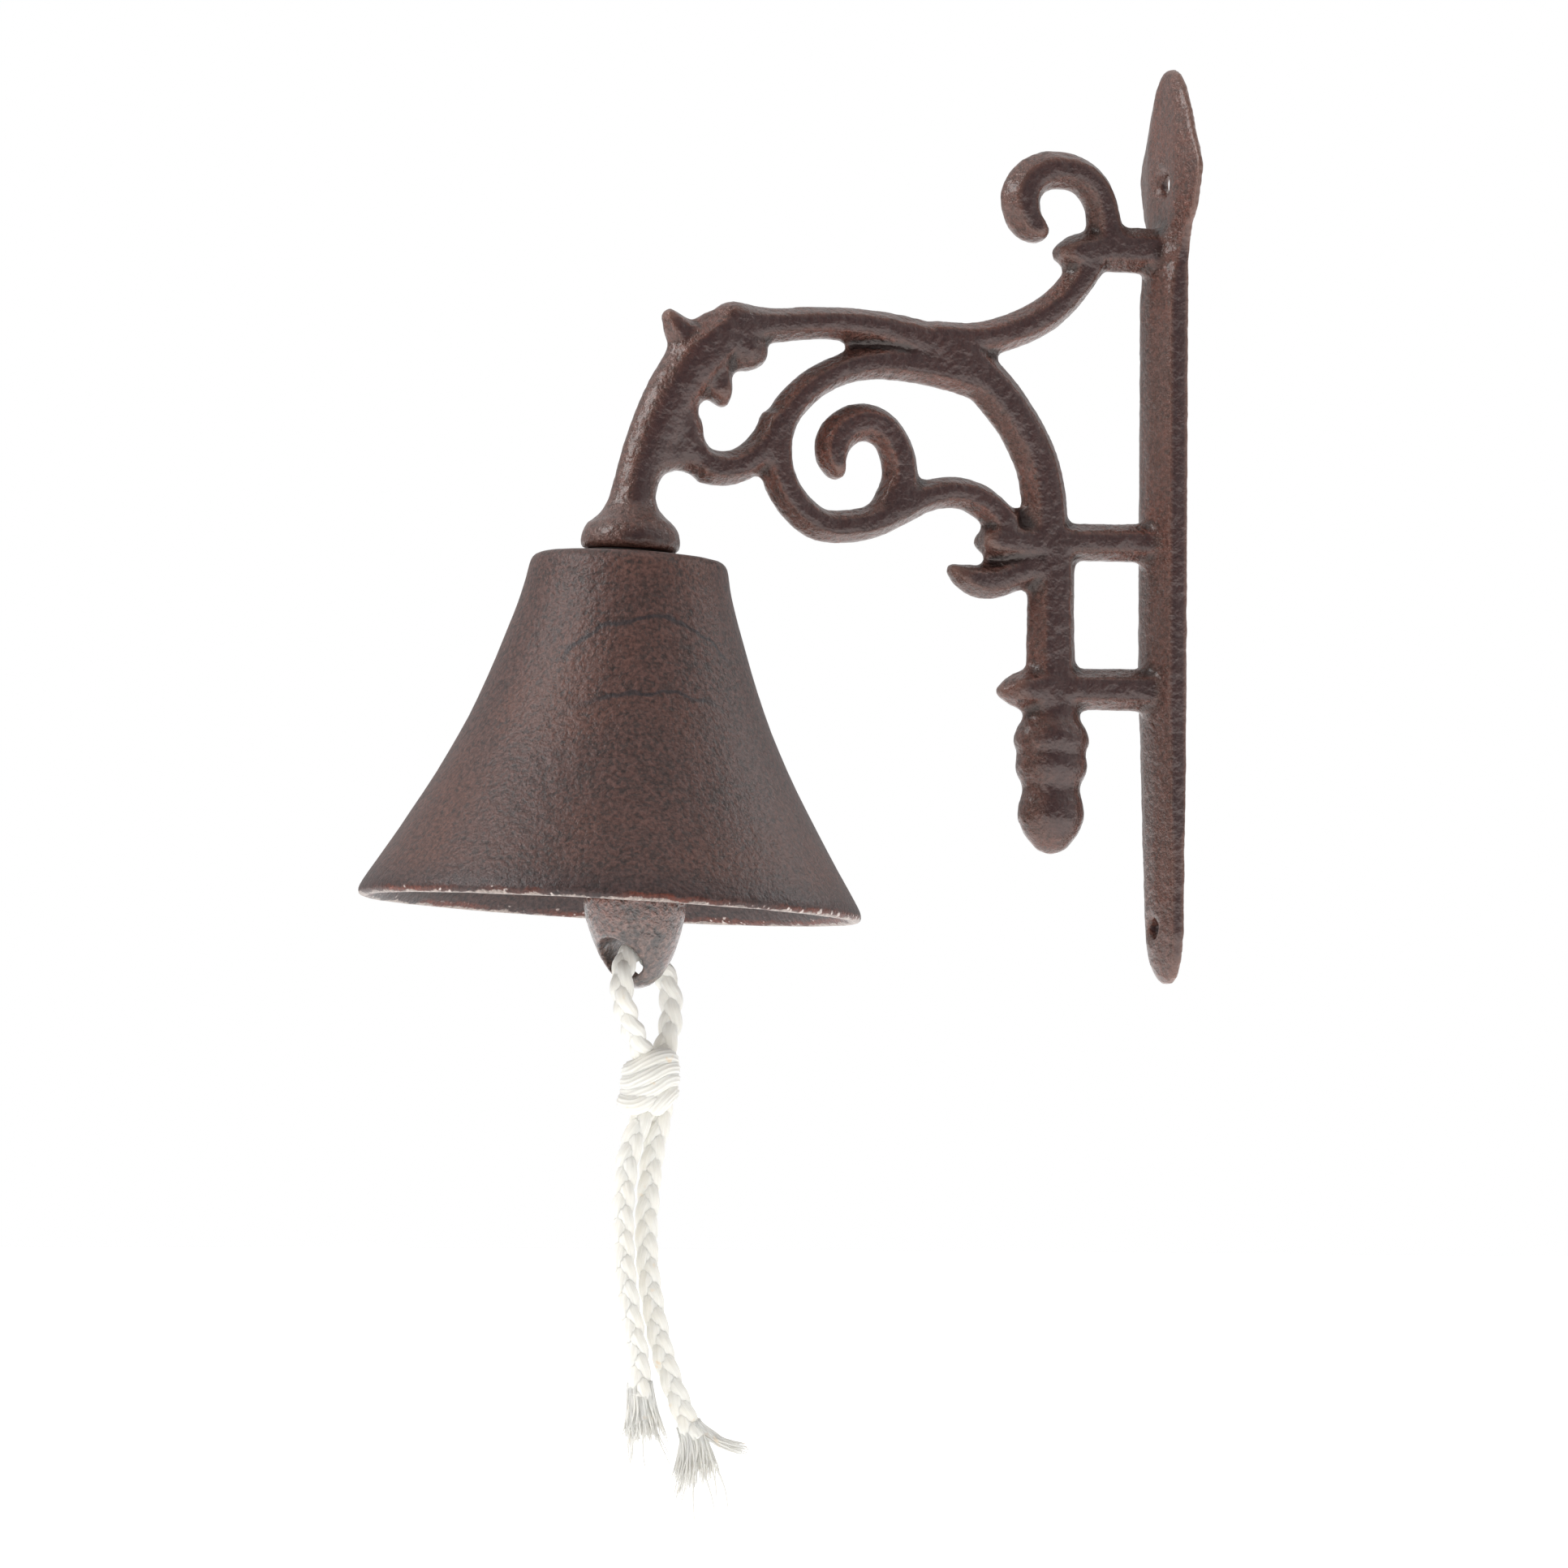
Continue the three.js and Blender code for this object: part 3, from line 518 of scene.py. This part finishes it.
def roughen(piece, size_mm, height_mm, shift):
    """Gives a casting the slight swells of a hand-rammed sand mould. The shift, in metres, picks
    another part of the swell pattern for each use."""
    clouds = bpy.data.textures.new("mould_swell", "CLOUDS")
    clouds.noise_scale = size_mm * MM
    clouds.noise_depth = 2
    anchor = bpy.data.objects.new("swell_anchor", None)
    bpy.context.scene.collection.objects.link(anchor)
    anchor.location = shift
    bpy.context.view_layer.update()
    apply(piece, "DISPLACE", texture=clouds, strength=height_mm * MM, mid_level=0.5,
          texture_coords="OBJECT", texture_coords_object=anchor)
    bpy.data.objects.remove(anchor)


# ---------------------------------------------------------------- rope

# The rope's route as in the model: the loop through the clapper's eye from knot to knot, and the
# two tails below the knot.
KNOT = Vector((0.6, -121.4, -122.2)) * MM
ROPE_LOOP = [
    (0.6, -121.4, -122.2), (1.2, -122.8, -119.2), (2, -124.2, -116.4), (3.2, -125.9, -114),
    (5, -128.4, -110.4), (6.4, -130.5, -106.4), (6.9, -131.3, -102.4), (5.6, -130.5, -98.4),
    (3, -128.5, -95.6), (0, -125.5, -94.5), (-1.7, -121.5, -95.6), (-2.6, -118.4, -98.4),
    (-2.6, -116.8, -102.4), (-2.3, -116.4, -106.6), (-1.8, -116.9, -110.6), (-1.2, -118, -114.2),
    (-0.6, -119, -116.6), (0, -120.3, -119.4), (0.6, -121.4, -122.2),
]
LEFT_TAIL = [
    (0.6, -121.8, -123.2), (0.9, -123.4, -127.8), (0.9, -125.6, -133), (0.9, -127.4, -138.8),
    (0.9, -128.3, -147.5), (0.9, -128.2, -156.7), (0.9, -127.4, -165.2), (0.8, -125.8, -173.7),
    (0.6, -124.4, -181), (0.4, -123.8, -188),
]
RIGHT_TAIL = [
    (0, -120.4, -123.2), (-0.6, -119.2, -127.8), (-0.8, -120.1, -133), (-0.9, -121.2, -139.4),
    (-0.9, -122.2, -150.9), (-0.9, -121.9, -160.1), (-0.8, -120.8, -168), (-0.6, -119.1, -176.5),
    (-0.4, -116.8, -184), (-0.2, -114, -190.9), (0, -111.5, -196.6),
]
ROPE_WIDTH = 4.9 * MM
ROPE_SPACING = 0.35 * MM
STRAND_RADIUS = 1.55 * MM
STRAND_SIDES = 27
PLAIT_PITCH = 15.6 * MM
YARNS = 9
# How far a strand rises where it crosses another, as a share of its radius.
CROSSING_HEIGHT = 0.42
# The direction in which each flat plait is wide.
LOOP_ACROSS = (0.85, 0.5, 0)
TAIL_ACROSS = (0.39, 0.92, 0)


def smooth_route(points, spacing):
    """Points at even spacing on a smooth curve through given points in millimetres."""
    stops = [Vector(p) * MM for p in points]
    stops = [stops[0] * 2 - stops[1]] + stops + [stops[-1] * 2 - stops[-2]]
    dense = []
    for a, b, c, d in zip(stops, stops[1:], stops[2:], stops[3:]):
        for i in range(24):
            t = i / 24
            dense.append(0.5 * (
                2 * b + (c - a) * t + (2 * a - 5 * b + 4 * c - d) * t ** 2
                + (3 * b - a - 3 * c + d) * t ** 3))
    dense.append(stops[-2])
    lengths = [0]
    for a, b in zip(dense, dense[1:]):
        lengths.append(lengths[-1] + (b - a).length)
    count = max(2, round(lengths[-1] / spacing))
    route, j = [], 0
    for i in range(count + 1):
        goal = lengths[-1] * i / count
        while j < len(dense) - 2 and lengths[j + 1] < goal:
            j += 1
        share = (goal - lengths[j]) / max(1e-9, lengths[j + 1] - lengths[j])
        route.append(dense[j].lerp(dense[j + 1], min(1, share)))
    return route, lengths[-1]


def frames_along(route, across):
    """The direction, sideways and outward vectors at each point, turned as little as can be."""
    result = []
    side = Vector(across)
    for i, point in enumerate(route):
        ahead = (route[min(i + 1, len(route) - 1)] - route[max(i - 1, 0)]).normalized()
        side = (side - ahead * side.dot(ahead)).normalized()
        result.append((point, ahead, side, ahead.cross(side)))
    return result


def sweep(mesh, uv, line, radius_at, across, sides, lobes=0, lobe_depth=0, twist=0):
    """Sweeps a closed round or lobed section along a line of points into a bmesh, with its yarn
    direction in the UV map: u round the section and v along it in millimetres."""
    rings = []
    run = 0
    for i, (point, ahead, side, out) in enumerate(frames_along(line, across)):
        if i:
            run += (line[i] - line[i - 1]).length
        ring = []
        for k in range(sides):
            angle = 2 * math.pi * k / sides
            bulge = 1 + lobe_depth * math.cos(lobes * angle + twist * run / MM)
            reach = radius_at(i / (len(line) - 1)) * bulge
            ring.append(mesh.verts.new(point + (side * math.cos(angle) + out * math.sin(angle)) * reach))
        rings.append((ring, run / MM))
    for (low, v0), (high, v1) in zip(rings, rings[1:]):
        for k in range(sides):
            face = mesh.faces.new((low[k], low[(k + 1) % sides], high[(k + 1) % sides], high[k]))
            face.smooth = True
            corners = ((k, v0), (k + 1, v0), (k + 1, v1), (k, v1))
            for loop, (u, v) in zip(face.loops, corners):
                loop[uv].uv = (u / sides * 6, v)
    for ring, flip in ((rings[0][0], True), (rings[-1][0], False)):
        mesh.faces.new(list(reversed(ring)) if flip else ring)


def piece_from(mesh, name):
    """Turns a bmesh into an object with its faces pointing outwards."""
    bmesh.ops.recalc_face_normals(mesh, faces=mesh.faces)
    data = bpy.data.meshes.new(name)
    mesh.to_mesh(data)
    mesh.free()
    piece = bpy.data.objects.new(name, data)
    bpy.context.scene.collection.objects.link(piece)
    return piece


def plait(name, points, across):
    """A three-strand plait along a route. Each strand is a bundle of yarns that crosses from side
    to side, over one neighbour and under the next."""
    route, length = smooth_route(points, ROPE_SPACING)
    frames = frames_along(route, across)
    mesh = bmesh.new()
    uv = mesh.loops.layers.uv.new("yarn")
    swing = ROPE_WIDTH / 2 - STRAND_RADIUS
    for strand in range(3):
        line = []
        for i, (point, ahead, side, out) in enumerate(frames):
            turn = 2 * math.pi * (length * i / (len(route) - 1) / PLAIT_PITCH + strand / 3)
            line.append(
                point + side * swing * math.sin(turn)
                + out * STRAND_RADIUS * CROSSING_HEIGHT * math.sin(2 * turn))
        sweep(mesh, uv, line, lambda t: STRAND_RADIUS, across, STRAND_SIDES, YARNS, 0.06, 0.3)
    return piece_from(mesh, name), route, length


def make_rope():
    """The loop and the tails, each a plait along its route, with the knot and the frayed ends."""
    knot = make_knot()
    loop, loop_route, loop_length = plait("rope_loop_plait", ROPE_LOOP, LOOP_ACROSS)
    finish_piece(loop, cotton_yarn, "cotton", "rope_loop", "rope_strand_front", "rope_strand_rear")
    for name, points, node, tuft in (
        ("rope_left_tail_plait", LEFT_TAIL, "rope_tail_left", LEFT_TUFT),
        ("rope_right_tail_plait", RIGHT_TAIL, "rope_tail_right", RIGHT_TUFT),
    ):
        tail, route, length = plait(name, points, TAIL_ACROSS)
        finish_piece(tail, cotton_yarn, "cotton", "rope_end", node)
        ends = frayed_end(name.replace("plait", "fray"), route, **tuft)
        finish_piece(ends, cotton_yarn, "cotton", "rope_end")


# How each tail frays: how far its yarns run, how far they spread and which way they lean, in
# millimetres, and how many yarns part from the rest in a lock. They start a little before the end
# of the plait and cover it.
LEFT_TUFT = {"run": 14, "spread": 2.8, "lean": (0.2, -0.4, 0), "lock": 0, "seed": 3}
RIGHT_TUFT = {"run": 15, "spread": 3.6, "lean": (0, -3.6, -1), "lock": 24, "seed": 8}
TUFT_YARNS = 150
TUFT_START = 3 * MM
YARN_RADIUS = 0.34 * MM


def frayed_end(name, route, run, spread, lean, lock, seed):
    """The loose yarns at the cut end of a tail."""
    chance = random.Random(seed)
    mesh = bmesh.new()
    uv = mesh.loops.layers.uv.new("yarn")
    end = route[-1 - round(TUFT_START / ROPE_SPACING)]
    ahead = (route[-1] - route[-30]).normalized()
    side = Vector(TAIL_ACROSS)
    side = (side - ahead * side.dot(ahead)).normalized()
    out = ahead.cross(side)
    for i in range(TUFT_YARNS):
        angle = chance.uniform(0, 2 * math.pi)
        share = math.sqrt(chance.random())
        start_reach = (0.25 + 0.75 * share) * ROPE_WIDTH * 0.5
        end_reach = start_reach + spread * MM * share * chance.uniform(0.2, 1)
        reach = run * MM * chance.uniform(0.6, 0.95)
        stray = i % 23 == 0
        if stray:
            reach = run * MM * chance.uniform(1.1, 1.45)
            end_reach = start_reach + spread * MM * chance.uniform(0.6, 1.5)
        wave = chance.uniform(0, 2 * math.pi)
        drift = Vector(lean) * MM
        if i < lock:
            angle = chance.uniform(-0.5, 0.5)
            end_reach = start_reach + chance.uniform(3.6, 5.2) * MM
            reach = run * MM * chance.uniform(0.6, 0.8)
            drift = Vector((0, 2.4, 2)) * MM
        line = []
        for step in range(11):
            t = step / 10
            r = start_reach + (end_reach - start_reach) * t ** 1.3
            point = end + ahead * reach * t + drift * t * t
            point += side * math.cos(angle) * r + out * math.sin(angle) * r * 0.6
            curl = (0.8 if stray else 0.35) * MM * t
            point += (side * math.sin(wave + 6 * t) + out * math.cos(wave + 5 * t)) * curl
            line.append(point)
        sweep(mesh, uv, line, lambda t: YARN_RADIUS * (1 - 0.75 * t * t), TAIL_ACROSS, 5)
    return piece_from(mesh, name)


# The knot's wraps, in millimetres about its centre: across the rope's plane, outward from it, up.
KNOT_WRAPS = [
    [(-2.6, -2.6, 3.2), (-4.6, 0.4, 2.4), (-3.2, 2.8, 2.9), (-0.4, 3.8, 4.5), (2, 2.8, 5.2),
     (3, 0.2, 4.6), (1.8, -2.8, 4)],
    [(-3.2, -2.6, 0.4), (-4.9, 0.4, 0), (-3.6, 3, 0.1), (-0.8, 4.2, 1.5), (1.8, 3.4, 2.9),
     (3.3, 0.6, 3), (2, -2.8, 2)],
    [(-3.4, -2.4, -1.8), (-5, 0.4, -2.2), (-3.4, 2.6, -2), (-0.6, 3.7, -0.9), (2, 3, 0.7),
     (3.3, 0.2, 0.9), (2, -2.8, 0)],
    [(-2.4, -2.6, -2.6), (-5, -0.4, -3.4), (-5.3, 2, -4.2), (-3.4, 3.2, -4.3), (-1.2, 3, -3.2),
     (0.2, 2, -2.4)],
    [(0.2, 1.6, -5), (0.9, 2.4, -4.2), (2.2, 2.2, -2.8), (3.1, 0, -1.8), (1.6, -2.8, -2)],
]
KNOT_AXES = (Vector(TAIL_ACROSS), Vector((0.92, -0.39, 0)), Vector((0, 0, 1)))
WRAP_RADIUS = 2.25 * MM
WRAP_SIDES = 60
WRAP_YARNS = 15


def make_knot():
    """The overhand knot: tight turns of rope round the strands, their yarns pulled flat."""
    mesh = bmesh.new()
    uv = mesh.loops.layers.uv.new("yarn")
    for turn in KNOT_WRAPS:
        points = [
            (KNOT + (KNOT_AXES[0] * a + KNOT_AXES[1] * b + KNOT_AXES[2] * c) * MM) / MM
            for a, b, c in turn
        ]
        line, _ = smooth_route(points, ROPE_SPACING)
        sweep(mesh, uv, line, lambda t: WRAP_RADIUS, (0, 0, 1), WRAP_SIDES, WRAP_YARNS, 0.05, 0.1)
    knot = piece_from(mesh, "rope_knot_wraps")
    return finish_piece(knot, cotton_yarn, "cotton", "rope_end", "rope_knot")


make_rope()


# ---------------------------------------------------------------- bracket

# Where the neck lies: beyond this reach from the wall, and between these heights.
NECK_REACH = 0.112
NECK_LOW = -0.004
NECK_HIGH = 0.034


def make_bracket():
    bracket = casting_copy("bracket_casting", "bracket_scrollwork")
    soften_casting(bracket, 0.62 * MM, 0.8 * MM, 2)
    neck = bracket.vertex_groups.new(name="neck")
    for vertex in bracket.data.vertices:
        if vertex.co.y < -NECK_REACH and NECK_LOW < vertex.co.z < NECK_HIGH:
            neck.add([vertex.index], 1, "REPLACE")
    apply(bracket, "SMOOTH", factor=0.8, iterations=60, vertex_group="neck")
    mark_relief(bracket, 4)
    roughen(bracket, 4, 0.3, (0.01, 0.02, 0.03))
    roughen(bracket, 1.2, 0.16, (0.03, 0.01, 0.02))
    pick(bracket)
    bpy.ops.object.shade_smooth()
    finish_piece(bracket, bracket_iron, "bracket_iron", "bracket", "bracket_casting")


make_bracket()


# ---------------------------------------------------------------- bell

# The bell's section from its bore over the crown, down the flare, round the lip and back up
# inside, as radius and height below the crown in millimetres.
BELL_SECTION = [
    (3.4, 0), (12, 0.05), (17.6, 0), (19.4, -0.25), (20.5, -1), (21.05, -2.4), (21.5, -5.5), (22.4, -9),
    (23.6, -13), (25.6, -18.9), (28.4, -27.1), (31.8, -35.4), (35.75, -43.6), (40.3, -51.8),
    (45.2, -60.1), (50.2, -68), (52.4, -71.6), (53, -73), (52.9, -74.1), (52.1, -74.6), (50.8, -74.5),
    (49.9, -73.6), (47.3, -68.4), (42.1, -60.1), (37.1, -51.8), (32.5, -43.6), (28.6, -35.4),
    (25.2, -27.1), (22.4, -18.9), (19.6, -10), (17.8, -6.2), (15, -4.4), (8, -4.2), (3.4, -4.2),
]


def spun(name, section, segments):
    """Turns a closed section about Z: one ring is drawn, then extruded and resized station by
    station, and its ends are joined."""
    deselect()
    r, z = section[0]
    bpy.ops.mesh.primitive_circle_add(
        vertices=segments, radius=r * MM, location=(0, 0, z * MM))
    piece = bpy.context.object
    piece.name = name
    pick(piece)
    bpy.ops.object.mode_set(mode="EDIT")
    bpy.ops.mesh.select_all(action="SELECT")
    for next_r, next_z in section[1:] + section[:1]:
        bpy.ops.mesh.extrude_region_move(
            TRANSFORM_OT_translate={"value": (0, 0, (next_z - z) * MM)})
        bpy.ops.transform.resize(value=(next_r / r, next_r / r, 1), center_override=(0, 0, next_z * MM))
        r, z = next_r, next_z
    bpy.ops.mesh.select_all(action="SELECT")
    bpy.ops.mesh.remove_doubles(threshold=0.005 * MM)
    bpy.ops.mesh.normals_make_consistent(inside=False)
    bpy.ops.object.mode_set(mode="OBJECT")
    return piece


def make_bell():
    bell = spun("bell_casting", BELL_SECTION, BELL_SEGMENTS)
    apply(bell, "SUBSURF", levels=1, render_levels=1)
    bell.matrix_world = Matrix.Translation(crown_centre()) @ Matrix.Rotation(-BELL_TILT, 4, "X")
    pick(bell)
    bpy.ops.object.transform_apply(location=True, rotation=True, scale=True)
    roughen(bell, 9, 0.22, (0.05, 0.01, 0.02))
    pick(bell)
    bpy.ops.object.shade_smooth()
    finish_piece(bell, bell_iron, "bell_iron", "bracket", "bell_body")


make_bell()


# ---------------------------------------------------------------- clapper and its hardware

def make_clapper():
    clapper = casting_copy("clapper", "clapper_drop")
    soften_casting(clapper, 0.45 * MM, 0.5 * MM, 4)
    roughen(clapper, 3, 0.3, (0.02, 0.03, 0.01))
    pick(clapper)
    bpy.ops.object.shade_smooth()
    finish_piece(clapper, clapper_iron, "clapper_iron", "clapper", "clapper")


make_clapper()

for name in ("eye_bolt", "clamp_washer", "hex_nut", "clapper_link", "clapper_eye"):
    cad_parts[name].data.materials.clear()
    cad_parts[name].data.materials.append(zinc)
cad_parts["crown_gasket"].data.materials.clear()
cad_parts["crown_gasket"].data.materials.append(black_fibre)


# ---------------------------------------------------------------- studio

def pale_paper():
    """Matt white background paper: bright and even, with only a trace of shadow."""
    material, tree, shader = new_material("matt_white_paper")
    shader.inputs["Base Color"].default_value = linear("#f2f2f2")
    shader.inputs["Roughness"].default_value = 1
    shader.inputs["Emission Color"].default_value = (1, 1, 1, 1)
    shader.inputs["Emission Strength"].default_value = 0.7
    return material


# How bright the tent is level with the bell and overhead, and how much of that is left in the
# opening that faces the bell's free side.
LEVEL_LIGHT = 0.42
OVERHEAD_LIGHT = 0.88
OPENING_SHARE = 0.04
OPENING_TOWARDS = Vector((0.92, -0.39, 0))


def make_tent():
    """A white light tent with one dark opening: broad soft light from every other side."""
    world = bpy.data.worlds.new("white_tent")
    world.use_nodes = True
    tree = world.node_tree
    tree.nodes.clear()
    place = add(tree, "ShaderNodeTexCoord")
    facing = add(tree, "ShaderNodeVectorMath", {
        0: place.outputs["Generated"], 1: OPENING_TOWARDS}, operation="DOT_PRODUCT")
    share = add(tree, "ShaderNodeMapRange", {
        "Value": facing.outputs["Value"], "From Min": 0.15, "From Max": 0.92,
        "To Min": 1, "To Max": OPENING_SHARE}, interpolation_type="SMOOTHSTEP")
    parts = add(tree, "ShaderNodeSeparateXYZ", {"Vector": place.outputs["Generated"]})
    steep = add(tree, "ShaderNodeMath", {0: parts.outputs["Z"]}, operation="ABSOLUTE")
    raised = add(tree, "ShaderNodeMapRange", {
        "Value": steep.outputs[0], "From Min": 0.05, "From Max": 0.75,
        "To Min": LEVEL_LIGHT, "To Max": OVERHEAD_LIGHT})
    light = add(tree, "ShaderNodeMath", {
        0: share.outputs[0], 1: raised.outputs[0]}, operation="MULTIPLY")
    seen = add(tree, "ShaderNodeLightPath")
    strength = add(tree, "ShaderNodeMix", {
        0: seen.outputs["Is Camera Ray"], 2: light.outputs[0], 3: 1.0}, data_type="FLOAT")
    glow = add(tree, "ShaderNodeBackground", {"Strength": strength.outputs[0]})
    glow.inputs["Color"].default_value = (1, 1, 1, 1)
    add(tree, "ShaderNodeOutputWorld", {"Surface": glow.outputs[0]})
    bpy.context.scene.world = world


# How far the floor lies below the rope's end, and the point that the lamps face.
FLOOR_DROP = 0.12
FLOOR_RADIUS = 6
LAMP_TARGET = Vector((0, -0.09, -0.02))
# Each lamp's place in metres, width, power in watts, and whether it shows in reflections.
LAMPS = (
    ("left_softbox", (0, -1.3, 0.8), 0.6, 11, True),
    ("right_softbox", (0, 1.3, 0.8), 0.6, 5, True),
    ("front_fill", (1.9, -1, 0.1), 1.4, 13, False),
)


def make_studio():
    deselect()
    floor_z = cad_box[0].z - FLOOR_DROP
    bpy.ops.mesh.primitive_circle_add(
        vertices=64, radius=FLOOR_RADIUS, fill_type="NGON", location=(0, 0, floor_z))
    floor = bpy.context.object
    floor.name = "pale_floor"
    floor.data.materials.append(pale_paper())
    make_tent()
    bpy.context.scene.view_settings.view_transform = "Standard"
    for name, place, size, power, shines in LAMPS:
        light = bpy.data.lights.new(name, "AREA")
        light.size = size
        light.energy = power
        lamp = bpy.data.objects.new(name, light)
        lamp.location = place
        lamp.rotation_euler = (LAMP_TARGET - Vector(place)).to_track_quat("-Z", "Y").to_euler()
        lamp.visible_glossy = shines
        bpy.context.scene.collection.objects.link(lamp)


make_studio()
